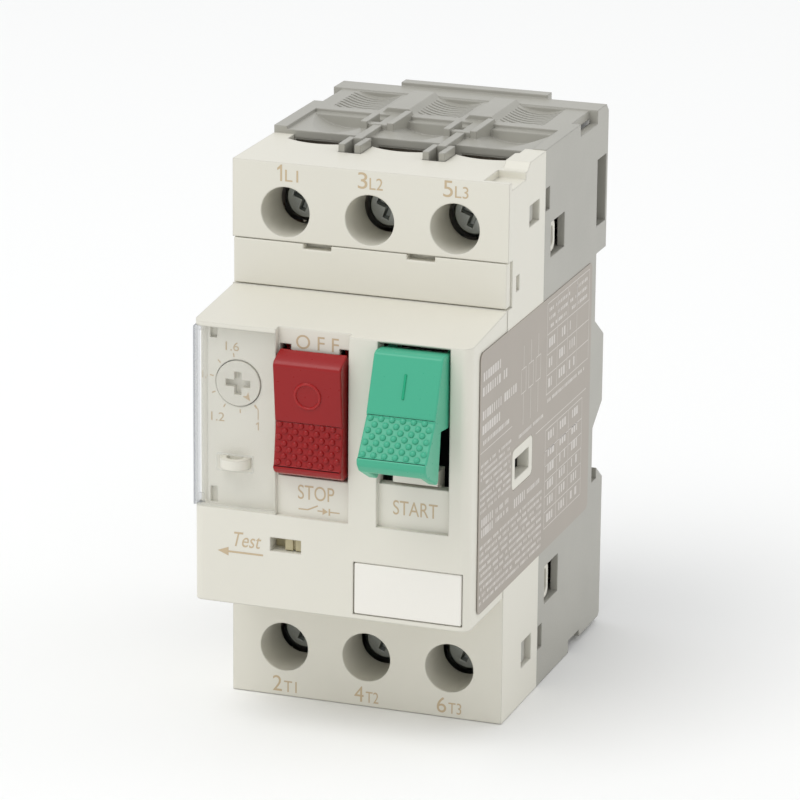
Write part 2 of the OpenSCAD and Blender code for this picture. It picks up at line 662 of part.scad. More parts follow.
front_cover();
rear_base();
blanking_cover();
marker_plate();
rating_label();
stop_button();
start_button();
button_shaft();
current_dial();
dial_cover();
test_slider();
trip_bar();
din_latch();
latch_spring();
divider_plate();
mechanism_frame();
toggle_pin();
toggle_lever();
toggle_spring();
contact_carrier();
contact_springs();
for (p = [0:2]) {
    moving_contact(p);
    line_terminal(p);
    load_terminal(p);
    load_contact(p);
    arc_chute(p);
    trip_coil(p);
    coil_bobbin(p);
    plunger(p);
    bimetal(p);
}
for (n = [1:6]) {
    terminal_screw(n);
    clamp_plate(n);
}
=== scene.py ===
import json
import math

import bmesh
import bpy
from mathutils import Matrix, Vector


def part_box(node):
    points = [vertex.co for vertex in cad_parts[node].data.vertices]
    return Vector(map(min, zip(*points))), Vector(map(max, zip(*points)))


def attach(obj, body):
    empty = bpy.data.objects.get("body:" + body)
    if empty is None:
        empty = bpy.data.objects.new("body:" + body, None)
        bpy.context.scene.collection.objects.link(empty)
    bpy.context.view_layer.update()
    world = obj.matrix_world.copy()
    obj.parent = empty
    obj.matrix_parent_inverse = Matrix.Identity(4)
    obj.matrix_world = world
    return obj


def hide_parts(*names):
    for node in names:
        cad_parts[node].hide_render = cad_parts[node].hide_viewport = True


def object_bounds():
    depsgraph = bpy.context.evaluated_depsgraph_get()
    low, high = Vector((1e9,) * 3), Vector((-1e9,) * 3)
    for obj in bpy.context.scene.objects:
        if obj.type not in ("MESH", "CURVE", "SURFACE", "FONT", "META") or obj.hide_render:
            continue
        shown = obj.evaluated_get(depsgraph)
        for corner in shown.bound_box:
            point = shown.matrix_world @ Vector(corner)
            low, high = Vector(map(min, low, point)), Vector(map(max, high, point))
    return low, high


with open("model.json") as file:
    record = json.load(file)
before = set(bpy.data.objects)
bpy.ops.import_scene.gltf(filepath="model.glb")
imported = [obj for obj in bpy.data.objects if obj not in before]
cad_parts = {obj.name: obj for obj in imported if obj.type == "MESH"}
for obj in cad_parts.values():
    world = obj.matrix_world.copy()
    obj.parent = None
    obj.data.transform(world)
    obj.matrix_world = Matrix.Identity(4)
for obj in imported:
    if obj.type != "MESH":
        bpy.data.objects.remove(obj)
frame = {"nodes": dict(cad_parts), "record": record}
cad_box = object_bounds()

# ---- Camera
# A long lens looks at the breaker from above on its right, as a catalogue
# picture does, with the terminal face a little turned away.
SENSOR_MM, LENS_MM = 36, 209.86
CAMERA_SPOT = Vector((0.23249, -0.69692, 0.21579))  # m
turn, rise, lean = math.radians(19.247), math.radians(17.021), math.radians(0.554)
back = Vector((math.sin(turn) * math.cos(rise), -math.cos(turn) * math.cos(rise), math.sin(rise)))
level = (-back).cross(Vector((0, 0, 1))).normalized()
upright = level.cross(-back)
camera_x = level * math.cos(lean) + upright * math.sin(lean)
camera_y = upright * math.cos(lean) - level * math.sin(lean)
camera = bpy.data.objects.new("camera", bpy.data.cameras.new("camera"))
camera.data.sensor_width = SENSOR_MM
camera.data.lens = LENS_MM
camera.matrix_world = (Matrix.Translation(CAMERA_SPOT)
                       @ Matrix((camera_x, camera_y, back)).transposed().to_4x4())
bpy.context.collection.objects.link(camera)
bpy.context.scene.camera = camera

# ---- Rear base
# The grey half of the case, moulded in glass-filled thermoset. It carries the
# terminals and hooks over the rail, and the wires enter through its troughs.
MM = 0.001


def linear(hex_colour, shade=1.0):
    """An sRGB hex colour as the linear values that a shader takes."""
    parts = [int(hex_colour[i:i + 2], 16) / 255 * shade for i in (1, 3, 5)]
    return tuple(c / 12.92 if c <= 0.04045 else ((c + 0.055) / 1.055) ** 2.4 for c in parts) + (1.0,)


def add(tree, kind, inputs=(), **settings):
    """Adds one node: settings are its own, inputs are values or sockets by name or number."""
    node = tree.nodes.new(kind)
    for name, value in settings.items():
        setattr(node, name, value)
    for key, value in dict(inputs).items():
        if isinstance(value, bpy.types.NodeSocket):
            tree.links.new(value, node.inputs[key])
        else:
            node.inputs[key].default_value = value
    return node


def moulded_plastic(name, colour, roughness, grain_mm, relief_mm, mottle=0.03, edge_mm=0.0):
    """Moulded plastic: an even colour with a cloudy drift, and the fine grain of the eroded tool.
    With an edge size, edges that are sharp in the mesh catch the light as slightly rounded ones do."""
    material = bpy.data.materials.new(name)
    material.use_nodes = True
    tree = material.node_tree
    shader = tree.nodes["Principled BSDF"]
    shader.inputs["IOR"].default_value = 1.52
    place = add(tree, "ShaderNodeTexCoord").outputs["Object"]
    drift = add(tree, "ShaderNodeTexNoise", {"Vector": place, "Scale": 55.0, "Detail": 3.0})
    grain = add(tree, "ShaderNodeTexNoise", {"Vector": place, "Scale": 1000 / grain_mm, "Detail": 2.0})
    tone = add(tree, "ShaderNodeMix", {0: drift.outputs[0], 6: linear(colour, 1 - mottle),
                                       7: linear(colour, 1 + mottle)}, data_type="RGBA")
    tree.links.new(tone.outputs[2], shader.inputs["Base Color"])
    gloss = add(tree, "ShaderNodeMapRange", {0: grain.outputs[0], 3: roughness - 0.06, 4: roughness + 0.06})
    tree.links.new(gloss.outputs[0], shader.inputs["Roughness"])
    bump = add(tree, "ShaderNodeBump", {"Strength": 0.6, "Distance": relief_mm * MM,
                                        "Height": grain.outputs[0]})
    if edge_mm:
        rounded = add(tree, "ShaderNodeBevel", {"Radius": edge_mm * MM}, samples=8)
        tree.links.new(rounded.outputs[0], bump.inputs["Normal"])
    tree.links.new(bump.outputs[0], shader.inputs["Normal"])
    return material


def finish_node(nodes, material):
    """Gives CAD nodes that keep their shape a finish."""
    for name in nodes:
        for slot in frame["nodes"][name].material_slots:
            slot.material = material


# Glass-filled thermoset: dull, with a faint speckle where the fibres reach the skin
base_thermoset = moulded_plastic("thermoset_moulded_grey", "#A5A39A", 0.36, 0.45, 0.02, 0.07, 0.3)
finish_node(["rear_base"], base_thermoset)

# ---- Front cover
# The light grey half, moulded in polyamide and snapped to the base: both
# terminal blocks, the nose with the button bays, and the dial panel.

# Polyamide from a finely eroded tool: satin, with soft broad highlights
cover_polyamide = moulded_plastic("polyamide_moulded_light_grey", "#DDDACE", 0.42, 0.35, 0.012, 0.012, 0.35)
finish_node(["front_cover"], cover_polyamide)

# ---- Blanking cover
# A separate strip of the same polyamide, pushed into the slot between the
# upper terminals and the nose, where an auxiliary contact block can go.
def dress(piece, body, material):
    """Gives a finished piece its one material and its body."""
    piece.data.materials.clear()
    piece.data.materials.append(material)
    for face in piece.data.polygons:
        face.material_index = 0
    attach(piece, body)


def eased(node, width_mm, body, material, segments=2):
    """The part with its sharp edges eased as a tool leaves them, in place of the CAD node."""
    shape = bmesh.new()
    shape.from_mesh(frame["nodes"][node].data)
    bmesh.ops.remove_doubles(shape, verts=shape.verts, dist=2e-6)
    bmesh.ops.dissolve_limit(shape, angle_limit=math.radians(0.6), verts=shape.verts, edges=shape.edges)
    bmesh.ops.triangulate(shape, faces=[face for face in shape.faces if len(face.verts) > 4])
    for face in shape.faces:
        face.smooth = True
    mesh = bpy.data.meshes.new(node + "_part")
    shape.to_mesh(mesh)
    shape.free()
    if "custom_normal" in mesh.attributes:
        mesh.attributes.remove(mesh.attributes["custom_normal"])
    piece = bpy.data.objects.new(node + "_part", mesh)
    bpy.context.collection.objects.link(piece)
    easing = piece.modifiers.new("eased edges", "BEVEL")
    easing.width = width_mm * MM
    easing.segments = segments
    easing.limit_method = "ANGLE"
    easing.angle_limit = math.radians(32)
    easing.use_clamp_overlap = False
    easing.loop_slide = False
    easing.harden_normals = True
    dress(piece, body, material)
    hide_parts(node)
    return piece


eased("blanking_cover", 0.2, "housing", cover_polyamide)

# ---- Marker plate
# A blank white plate pressed into the nose, to be written on by the fitter.
# It is smoother and whiter than the cover round it.
marker_styrene = moulded_plastic("polystyrene_moulded_white", "#EBE8E0", 0.36, 0.5, 0.006, 0.008)
eased("marker_plate", 0.3, "housing", marker_styrene, 3)

# ---- Side label
# A printed polyester film stuck over the right side of the cover. Its small
# print is unreadable: rows of strokes, two ruled tables and a contact sign.
film_lo, film_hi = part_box("rating_label")


def printed_film(name, colour, roughness):
    """A thin printed film: even colour, a slight orange-peel in its gloss."""
    material = bpy.data.materials.new(name)
    material.use_nodes = True
    tree = material.node_tree
    shader = tree.nodes["Principled BSDF"]
    place = add(tree, "ShaderNodeTexCoord").outputs["Object"]
    drift = add(tree, "ShaderNodeTexNoise", {"Vector": place, "Scale": 90.0, "Detail": 4.0})
    tone = add(tree, "ShaderNodeMix", {0: drift.outputs[0], 6: linear(colour, 0.97),
                                       7: linear(colour, 1.03)}, data_type="RGBA")
    tree.links.new(tone.outputs[2], shader.inputs["Base Color"])
    shader.inputs["Roughness"].default_value = roughness
    peel = add(tree, "ShaderNodeTexNoise", {"Vector": place, "Scale": 900.0, "Detail": 1.0})
    bump = add(tree, "ShaderNodeBump", {"Strength": 0.25, "Distance": 0.01 * MM, "Height": peel.outputs[0]})
    tree.links.new(bump.outputs[0], shader.inputs["Normal"])
    return material


# Polyester film, back-printed taupe: slightly glossy, so the side picks up the light
label_film = printed_film("polyester_film_printed_taupe", "#A2998E", 0.38)
# The pale ink of the small print
label_ink = printed_film("screen_ink_pale", "#CFCAC4", 0.5)
finish_node(["rating_label"], label_film)


def maths(tree, operation, *values):
    """The result of one Math node on values or sockets."""
    return add(tree, "ShaderNodeMath", dict(enumerate(values)), operation=operation).outputs[0]


def node_group(name, numbers=(), counts=()):
    """An empty Geometry Nodes group with named inputs for its sizes, its counts and its material."""
    group = bpy.data.node_groups.new(name, "GeometryNodeTree")
    group.interface.new_socket("Geometry", in_out="OUTPUT", socket_type="NodeSocketGeometry")
    for title in numbers:
        group.interface.new_socket(title, in_out="INPUT", socket_type="NodeSocketFloat")
    for title in counts:
        group.interface.new_socket(title, in_out="INPUT", socket_type="NodeSocketInt")
    group.interface.new_socket("Material", in_out="INPUT", socket_type="NodeSocketMaterial")
    return group, add(group, "NodeGroupInput").outputs, add(group, "NodeGroupOutput")


def grown(name, group, place, **values):
    """Runs a node group with its values and returns the plain mesh, moved to its place."""
    holder = bpy.data.objects.new(name + "_maker", bpy.data.meshes.new(name + "_maker"))
    bpy.context.collection.objects.link(holder)
    maker = holder.modifiers.new("maker", "NODES")
    maker.node_group = group
    for item in group.interface.items_tree:
        if item.in_out == "INPUT" and item.name.replace(" ", "_") in values:
            maker[item.identifier] = values[item.name.replace(" ", "_")]
    graph = bpy.context.evaluated_depsgraph_get()
    graph.update()
    mesh = bpy.data.meshes.new_from_object(holder.evaluated_get(graph))
    bpy.data.objects.remove(holder)
    mesh.transform(place)
    mesh.name = name
    return mesh


def joined(name, meshes):
    """Several meshes as one new object at the origin."""
    shape = bmesh.new()
    for mesh in meshes:
        shape.from_mesh(mesh)
    whole = bpy.data.meshes.new(name)
    shape.to_mesh(whole)
    shape.free()
    piece = bpy.data.objects.new(name, whole)
    bpy.context.collection.objects.link(piece)
    return piece


# Short strokes of random width, in rows: what small print looks like from afar
strokes, given, result = node_group("rows of print", ("Row pitch", "Stroke pitch", "Weight"),
                                    ("Rows", "Strokes", "Seed"))
INK = 0.02  # mm, how far the ink stands up
total = maths(strokes, "MULTIPLY", given["Rows"], given["Strokes"])
queue = add(strokes, "GeometryNodeMeshLine", {"Count": total})
number = add(strokes, "GeometryNodeInputIndex").outputs[0]
row = maths(strokes, "FLOOR", maths(strokes, "DIVIDE", number, given["Strokes"]))
row = maths(strokes, "ADD", row, 0.5)
column = maths(strokes, "ADD", maths(strokes, "MODULO", number, given["Strokes"]), 0.5)
across = maths(strokes, "MULTIPLY", column, given["Stroke pitch"])
down = maths(strokes, "MULTIPLY", maths(strokes, "MULTIPLY", row, given["Row pitch"]), -1.0)
spot = add(strokes, "ShaderNodeCombineXYZ", {0: across, 1: down})
placed = add(strokes, "GeometryNodeSetPosition", {0: queue.outputs[0], "Position": spot.outputs[0]})
share = add(strokes, "FunctionNodeRandomValue", {2: 0.35, 3: 0.85, "Seed": given["Seed"]}, data_type="FLOAT")
wide = maths(strokes, "MULTIPLY", share.outputs[1], given["Stroke pitch"])
high = maths(strokes, "MULTIPLY", given["Row pitch"], given["Weight"])
size = add(strokes, "ShaderNodeCombineXYZ", {0: wide, 1: high, 2: INK * MM})
keep = add(strokes, "FunctionNodeRandomValue", {"Probability": 0.88, "Seed": given["Seed"]},
           data_type="BOOLEAN")
stroke = add(strokes, "GeometryNodeMeshCube")
many = add(strokes, "GeometryNodeInstanceOnPoints", {
    "Points": placed.outputs[0], "Selection": keep.outputs[3], "Instance": stroke.outputs[0],
    "Scale": size.outputs[0]})
solid = add(strokes, "GeometryNodeRealizeInstances", {0: many.outputs[0]})
inked = add(strokes, "GeometryNodeSetMaterial", {0: solid.outputs[0], "Material": given["Material"]})
strokes.links.new(inked.outputs[0], result.inputs[0])


def on_side(u, v):
    """From a flat pattern to the film, at mm back and mm down from its front top corner."""
    return Matrix(((0, 0, 1, film_hi[0]), (1, 0, 0, film_lo[1] + u * MM), (0, 1, 0, film_hi[2] - v * MM),
                   (0, 0, 0, 1)))


def ruled(boxes):
    """Thin printed bars on the film, each given by its two distances back and its two down in mm."""
    shape = bmesh.new()
    for u0, u1, v0, v1 in boxes:
        bar = bmesh.ops.create_cube(shape, size=1)["verts"]
        bmesh.ops.scale(shape, vec=((u1 - u0) * MM, (v1 - v0) * MM, INK * MM), verts=bar)
        bmesh.ops.translate(shape, vec=((u0 + u1) / 2 * MM, -(v0 + v1) / 2 * MM, 0), verts=bar)
    mesh = bpy.data.meshes.new("rules")
    shape.to_mesh(mesh)
    shape.free()
    mesh.transform(on_side(0, 0))
    return mesh


# Each block: mm back, mm down, rows, strokes a row, row pitch, stroke pitch, stroke height as a share
print_blocks = [
    (1.2, 3.0, 1, 8, 2.0, 1.1, 0.7), (1.0, 5.3, 1, 11, 2.0, 1.1, 0.7),
    (1.1, 9.1, 1, 16, 2.0, 1.05, 0.7), (1.1, 11.4, 1, 9, 2.0, 1.1, 0.7),
    (0.8, 13.9, 1, 18, 1.2, 0.75, 0.6), (0.6, 17.5, 8, 24, 1.05, 0.62, 0.45),
    (1.1, 26.4, 2, 6, 1.7, 1.0, 0.75), (8.1, 26.6, 2, 10, 1.5, 0.65, 0.5),
    (17.2, 28.0, 1, 6, 2.0, 0.98, 0.75), (23.8, 28.2, 1, 10, 1.5, 0.65, 0.5),
    (0.6, 30.6, 9, 47, 1.12, 0.66, 0.45), (19.1, 18.1, 1, 19, 1.1, 0.66, 0.5),
    (33.8, 1.4, 3, 24, 1.4, 0.85, 0.4), (33.5, 16.4, 1, 30, 1.1, 0.66, 0.5),
]
print_blocks += [(u, 5.9, 3, 3, 3.27, 1.15, 0.45) for u in (33.9, 39.3, 44.6)]
print_blocks += [(u, 21.6, 6, 3, 2.73, 1.2, 0.5) for u in (34.2, 40.4, 46.8)]
FIRST_SEED = 11
print_meshes = [
    grown("print_block", strokes, on_side(u, v), Row_pitch=pitch * MM, Stroke_pitch=step * MM, Weight=weight,
          Rows=lines, Strokes=count, Seed=FIRST_SEED + index, Material=label_ink)
    for index, (u, v, lines, count, pitch, step, weight) in enumerate(print_blocks)
]
RULE = 0.13  # mm, the width of a printed line
rules = [(0.4, 15.8, 15.8, 15.8 + RULE), (28.0, 54.5, 20.6, 20.6 + RULE)]
for left, right, lines, posts in ((33.0, 55.2, (0.8, 5.9, 9.2, 12.6, 15.7), (33.0, 38.3, 43.7, 48.6, 55.2)),
                                  (33.0, 52.4, (21.6, 25.1, 27.6, 30.1, 32.7, 35.3, 38.0),
                                   (33.0, 39.2, 45.2, 52.4))):
    rules += [(left, right, v, v + RULE) for v in lines]
    rules += [(u, u + RULE, lines[0], lines[-1]) for u in posts]
# The three-pole contact sign: a line and a box for each pole
for u in (21.2, 24.9, 28.6):
    rules += [(u, u + RULE, 4.4, 8.0), (u, u + RULE, 12.0, 17.2), (u - 1.2, u + 1.3, 8.0, 8.0 + RULE),
              (u - 1.2, u + 1.3, 11.9, 11.9 + RULE), (u - 1.2, u - 1.2 + RULE, 8.0, 12.0),
              (u + 1.2, u + 1.2 + RULE, 8.0, 12.0)]
side_print = joined("label_small_print", print_meshes + [ruled(rules)])
dress(side_print, "housing", label_ink)

# ---- Start and stop buttons
# Rocker keys of glossy coloured ABS on one steel shaft. Each has a flat head
# with its sign, and a knurled lower part for the fingertip.
SHAFT = Vector((0, -58.2, 16.3))  # mm, and so are the lower and upper edges of the head and of the knurling
CREASE, BROW = Vector((0, -64.45, 5.3)), Vector((0, -65.5, 14.4))
KNURL_FOOT, KNURL_TOP = Vector((0, -65.05, -1.5)), Vector((0, -64.15, 5.0))
START_TILT = math.radians(28)

# Glossy ABS, pigmented through: deep and even in colour, with a soft highlight
red_abs = moulded_plastic("abs_moulded_red", "#931314", 0.30, 0.6, 0.002, 0.02)
green_abs = moulded_plastic("abs_moulded_green", "#45AA88", 0.30, 0.6, 0.002, 0.02)

knurl, given, result = node_group("knurl", ("Column pitch", "Row pitch", "Dot width", "Dot height"),
                                  ("Columns", "Rows"))
span_x = maths(knurl, "MULTIPLY", maths(knurl, "ADD", given["Columns"], -1.0), given["Column pitch"])
span_y = maths(knurl, "MULTIPLY", maths(knurl, "ADD", given["Rows"], -1.0), given["Row pitch"])
lattice = add(knurl, "GeometryNodeMeshGrid", {0: span_x, 1: span_y, 2: given["Columns"], 3: given["Rows"]})
where = add(knurl, "ShaderNodeSeparateXYZ", {0: add(knurl, "GeometryNodeInputPosition").outputs[0]})
from_foot = maths(knurl, "MULTIPLY_ADD", span_y, 0.5, where.outputs[1])
row = maths(knurl, "ROUND", maths(knurl, "DIVIDE", from_foot, given["Row pitch"]))
# Every other row steps aside by half a pitch, a quarter of it each way
side_step = maths(knurl, "ADD", maths(knurl, "MODULO", row, 2.0), -0.5)
half_step = maths(knurl, "MULTIPLY", maths(knurl, "MULTIPLY", side_step, given["Column pitch"]), 0.5)
stagger = add(knurl, "ShaderNodeCombineXYZ", {0: half_step})
staggered = add(knurl, "GeometryNodeSetPosition", {0: lattice.outputs[0], "Offset": stagger.outputs[0]})
stud = add(knurl, "GeometryNodeMeshUVSphere", {0: 12, 1: 8, 2: 0.5})
stud_size = add(knurl, "ShaderNodeCombineXYZ", {
    0: given["Dot width"], 1: given["Dot width"], 2: given["Dot height"]})
studs = add(knurl, "GeometryNodeInstanceOnPoints", {
    "Points": staggered.outputs[0], "Instance": stud.outputs[0], "Scale": stud_size.outputs[0]})
whole = add(knurl, "GeometryNodeRealizeInstances", {0: studs.outputs[0]})
smooth = add(knurl, "GeometryNodeSetShadeSmooth", {0: whole.outputs[0]})
coated = add(knurl, "GeometryNodeSetMaterial", {0: smooth.outputs[0], "Material": given["Material"]})
knurl.links.new(coated.outputs[0], result.inputs[0])


def on_key(x, low, high, share, tilt):
    """From a flat pattern to a key's face, share of the way up from one edge to the next."""
    up = (high - low).normalized()
    out = Vector((1, 0, 0)).cross(up)
    spot = low.lerp(high, share) + Vector((x, 0, 0))
    flat = Matrix.Translation(spot * MM) @ Matrix((Vector((1, 0, 0)), up, out)).transposed().to_4x4()
    pivot = Matrix.Translation(SHAFT * MM)
    return pivot @ Matrix.Rotation(-tilt, 4, "X") @ pivot.inverted() @ flat


def bar_mesh(width, height, depth):
    """A plain bar in mm, lying flat at the origin."""
    shape = bmesh.new()
    bmesh.ops.create_cube(shape, size=1)
    bmesh.ops.scale(shape, vec=(width * MM, height * MM, depth * MM), verts=shape.verts)
    bmesh.ops.bevel(shape, geom=shape.edges, offset=0.08 * MM, segments=2, affect="EDGES")
    mesh = bpy.data.meshes.new("bar")
    shape.to_mesh(mesh)
    shape.free()
    return mesh


def ring_mesh(radius, wire):
    """A round wire bent to a ring in mm, lying flat at the origin."""
    shape = bmesh.new()
    around, across = 48, 8
    loops = [[shape.verts.new(Vector(((radius + wire * math.cos(b)) * math.cos(a),
                                      (radius + wire * math.cos(b)) * math.sin(a), wire * math.sin(b))) * MM)
              for b in (2 * math.pi * j / across for j in range(across))]
             for a in (2 * math.pi * i / around for i in range(around))]
    for i in range(around):
        near, far = loops[i], loops[(i + 1) % around]
        for j in range(across):
            k = (j + 1) % across
            shape.faces.new((near[j], far[j], far[k], near[k])).smooth = True
    mesh = bpy.data.meshes.new("ring")
    shape.to_mesh(mesh)
    shape.free()
    return mesh


# The signs stand proud of the head; their colour is painted light on the same ABS: a lighter red ring for a
# painted highlight, a darker green bar for painted shade
red_sign_painted_highlight = moulded_plastic("abs_polished_red_sign", "#A01D1D", 0.25, 0.6, 0.002, 0.02)
green_sign_painted_shade = moulded_plastic("abs_polished_green_sign", "#1E9F75", 0.25, 0.6, 0.002, 0.02)

for plastic in (red_abs, green_abs, red_sign_painted_highlight, green_sign_painted_shade):
    plastic.node_tree.nodes["Principled BSDF"].inputs["Specular IOR Level"].default_value = 0.32
for key, x_mid, tilt, plastic, sign_painted_light, slot_name in (
        ("stop_button", -3.0, 0.0, red_abs, red_sign_painted_highlight, "red_plastic"),
        ("start_button", 13.3, START_TILT, green_abs, green_sign_painted_shade, "green_plastic")):
    eased(key, 0.3, key, plastic, 3)
    dots = grown(key + "_knurl", knurl, on_key(x_mid, KNURL_FOOT, KNURL_TOP, 0.51, tilt),
                 Column_pitch=1.72 * MM, Row_pitch=0.97 * MM, Dot_width=1.02 * MM, Dot_height=0.74 * MM,
                 Columns=6, Rows=7, Material=plastic)
    sign = ring_mesh(2.0, 0.24) if key == "stop_button" else bar_mesh(0.42, 3.9, 0.3)
    sign.transform(on_key(x_mid, CREASE, BROW, 0.49, tilt))
    dress(joined(key + "_knurling", [dots]), key, plastic)
    # The sign's colour is painted light: a painted highlight on the red ring, painted shade on the green bar
    dress(joined(key + "_sign", [sign]), key, sign_painted_light)


def metal(name, colour, roughness, streak_mm, stretch, tint=0.06):
    """Bare or plated metal: fine streaks from drawing, rolling or the plating bath."""
    material = bpy.data.materials.new(name)
    material.use_nodes = True
    tree = material.node_tree
    shader = tree.nodes["Principled BSDF"]
    shader.inputs["Metallic"].default_value = 1.0
    place = add(tree, "ShaderNodeMapping",
                {0: add(tree, "ShaderNodeTexCoord").outputs["Object"], "Scale": stretch})
    streak = add(tree, "ShaderNodeTexNoise", {"Vector": place.outputs[0], "Scale": 1000 / streak_mm,
                                              "Detail": 3.0})
    tone = add(tree, "ShaderNodeMix", {0: streak.outputs[0], 6: linear(colour, 1 - tint),
                                       7: linear(colour, 1 + tint)}, data_type="RGBA")
    tree.links.new(tone.outputs[2], shader.inputs["Base Color"])
    gloss = add(tree, "ShaderNodeMapRange", {0: streak.outputs[0], 3: roughness - 0.08, 4: roughness + 0.1})
    tree.links.new(gloss.outputs[0], shader.inputs["Roughness"])
    return material


# Drawn spring steel: bright, with fine marks along its length
drawn_steel = metal("spring_steel_drawn", "#B9BCC0", 0.3, 0.12, (1.0, 1.0, 0.2))
finish_node(["button_shaft", "toggle_pin", "toggle_spring", "latch_spring"], drawn_steel)

# ---- Setting dial and its scale
# A light grey dial turned with a screwdriver. Its tan arrow points at a scale
# printed on the panel round it; the printed marks are a thin layer of ink.
dial_plastic = moulded_plastic("pom_moulded_light_grey", "#D6D3C7", 0.38, 0.4, 0.008, 0.012)
eased("current_dial", 0.14, "dial", dial_plastic)
# Pad-printed ink: thin, dull and slightly uneven
tan_ink = printed_film("pad_print_ink_tan", "#C3AF90", 0.6)
DIAL = Vector((-15.6, -61.6, 9.5))  # mm, the middle of the dial's face
PANEL_Y, LEFT_STRIP_Y = -61.3, -59.6  # mm, the printed faces of the panel


def flat_marks(outlines, y):
    """Flat printed shapes facing forward, each a list of x and z in mm, as one thin layer of ink."""
    shape = bmesh.new()
    for outline in outlines:
        front = [shape.verts.new((x * MM, (y - INK) * MM, z * MM)) for x, z in outline]
        shape.faces.new(front)
    bmesh.ops.recalc_face_normals(shape, faces=shape.faces)
    for face in shape.faces:
        if face.normal.y > 0:
            face.normal_flip()
    mesh = bpy.data.meshes.new("marks")
    shape.to_mesh(mesh)
    shape.free()
    return mesh


def lettering(words, x, z, y, italic=0.0):
    """Words as a flat mesh, fitted between two x and two z values in mm, facing forward."""
    text = bpy.data.curves.new("words", "FONT")
    text.body = words
    text.shear = italic
    holder = bpy.data.objects.new("words", text)
    bpy.context.collection.objects.link(holder)
    graph = bpy.context.evaluated_depsgraph_get()
    mesh = bpy.data.meshes.new_from_object(holder.evaluated_get(graph))
    bpy.data.objects.remove(holder)
    xs, ys = [v.co.x for v in mesh.vertices], [v.co.y for v in mesh.vertices]
    wide, high = (x[1] - x[0]) / (max(xs) - min(xs)), (z[1] - z[0]) / (max(ys) - min(ys))
    for v in mesh.vertices:
        across_by, up_by = (v.co.x - min(xs)) * wide, (v.co.y - min(ys)) * high
        v.co = Vector((x[0] + across_by, y - INK, z[0] + up_by)) * MM
    mesh.materials.clear()
    return mesh


def figure_one(x, z, y):
    """The figure 1 with its flag, fitted between two x and two z values in mm."""
    corners = [(0.62, 0), (1, 0), (1, 1), (0.75, 1), (0, 0.78), (0, 0.64), (0.62, 0.76)]
    return flat_marks([[(x[0] + u * (x[1] - x[0]), z[0] + v * (z[1] - z[0])) for u, v in corners]], y)


def turned(points, angle, centre):
    """Points given outward along x, turned about a centre, as x and z."""
    c, s = math.cos(angle), math.sin(angle)
    return [(centre.x + u * c - v * s, centre.z + u * s + v * c) for u, v in points]


arrow = turned([(3.3, 0), (2.0, 0.62), (2.3, 0.0), (2.0, -0.62)], math.radians(-51.5), DIAL)
dress(joined("dial_arrow", [flat_marks([arrow], DIAL.y)]), "dial", tan_ink)

# Tick marks at even steps round the dial; angles count from its right, upwards
ticks, given, result = node_group("scale ticks", ("Inner radius", "Length", "Width", "First", "Step"),
                                  ("Count",))
row_of = add(ticks, "GeometryNodeMeshLine", {"Count": given["Count"]})
number = add(ticks, "GeometryNodeInputIndex").outputs[0]
angle = maths(ticks, "MULTIPLY_ADD", number, given["Step"], given["First"])
middle = maths(ticks, "MULTIPLY_ADD", given["Length"], 0.5, given["Inner radius"])
tick_x = maths(ticks, "MULTIPLY", maths(ticks, "COSINE", angle), middle)
tick_y = maths(ticks, "MULTIPLY", maths(ticks, "SINE", angle), middle)
spot = add(ticks, "ShaderNodeCombineXYZ", {0: tick_x, 1: tick_y})
placed = add(ticks, "GeometryNodeSetPosition", {0: row_of.outputs[0], "Position": spot.outputs[0]})
face_way = add(ticks, "ShaderNodeCombineXYZ", {2: angle})
tick_size = add(ticks, "ShaderNodeCombineXYZ", {0: given["Length"], 1: given["Width"], 2: INK * MM})
tick = add(ticks, "GeometryNodeMeshCube")
tick_set = add(ticks, "GeometryNodeInstanceOnPoints", {
    "Points": placed.outputs[0], "Instance": tick.outputs[0], "Rotation": face_way.outputs[0],
    "Scale": tick_size.outputs[0]})
tick_mesh = add(ticks, "GeometryNodeRealizeInstances", {0: tick_set.outputs[0]})
tick_ink = add(ticks, "GeometryNodeSetMaterial", {0: tick_mesh.outputs[0], "Material": given["Material"]})
ticks.links.new(tick_ink.outputs[0], result.inputs[0])

facing_front = Matrix(((1, 0, 0, DIAL.x * MM), (0, 0, -1, PANEL_Y * MM), (0, 1, 0, DIAL.z * MM),
                       (0, 0, 0, 1)))
scale_marks = grown("dial_ticks", ticks, facing_front,
                    Inner_radius=4.15 * MM, Length=0.62 * MM, Width=0.2 * MM, First=math.radians(-260),
                    Step=math.radians(34.75), Count=7, Material=tan_ink)
# The line that leads from the lowest setting to its figure
leader = [[(-12.95, 6.3), (-12.82, 6.38), (-12.3, 5.6), (-12.3, 4.0), (-12.45, 4.0), (-12.45, 5.55)]]
dress(joined("dial_scale", [
    scale_marks, flat_marks(leader, PANEL_Y),
    figure_one((-12.75, -12.25), (2.3, 3.6), PANEL_Y), lettering("1.2", (-20.1, -17.9), (3.1, 4.5), PANEL_Y),
    lettering("1.6", (-17.7, -15.5), (14.55, 15.95), PANEL_Y),
    lettering("1.4", (-22.2, -20.85), (9.2, 10.4), LEFT_STRIP_Y),
]), "housing", tan_ink)

# ---- Clear cover
# A flap of clear polycarbonate over the dial panel, hinged along the left
# edge of the nose; it is sealed shut through the loop that passes its slot.
clear_sheet = bpy.data.materials.new("polycarbonate_moulded_clear")
clear_sheet.use_nodes = True
tree = clear_sheet.node_tree
shader = tree.nodes["Principled BSDF"]
